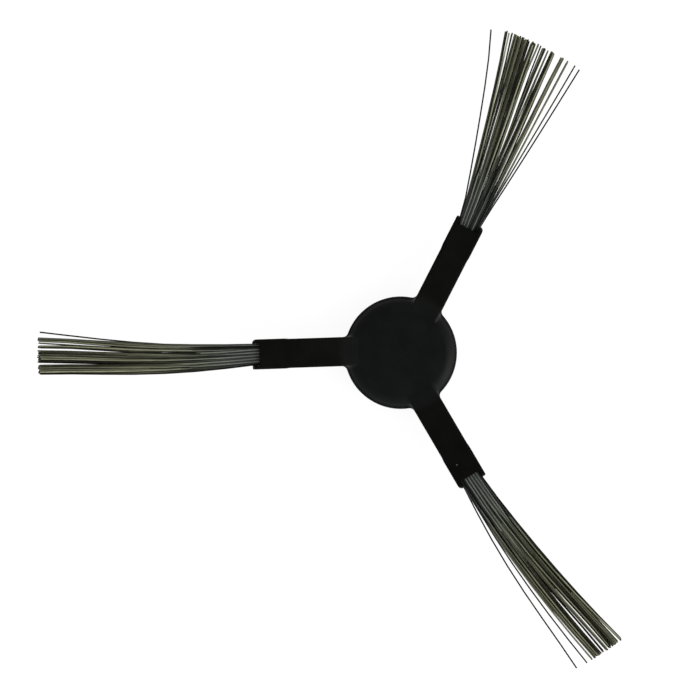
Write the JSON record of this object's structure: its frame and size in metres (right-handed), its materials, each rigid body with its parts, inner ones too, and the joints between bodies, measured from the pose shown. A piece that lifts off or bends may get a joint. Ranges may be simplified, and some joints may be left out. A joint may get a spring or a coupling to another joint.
{
  "type": "robot vacuum side brush",
  "caption": "Side brush for a robot vacuum: a domed hub with a keyed drive socket underneath and sleeve arms that each hold a fanned tuft of nylon bristles.",
  "frame": {"origin": "mouth of the drive bore, on the hub axis, in the plane of the skirt's rim that the brush rests on", "axes": "+Z along the hub axis towards the domed side that faces the floor in use, -X towards the left arm"},
  "size_m": [0.1287, 0.1408, 0.0165],
  "materials": {
    "hub_moulding": "fine matte moulding, black",
    "bristles": "satin nylon filament, dark olive grey"
  },
  "bodies": {
    "root": {"hub": "hub_moulding", "tuft_left": "bristles", "tuft_upper": "bristles", "tuft_lower": "bristles"}
  },
  "joints": []
}
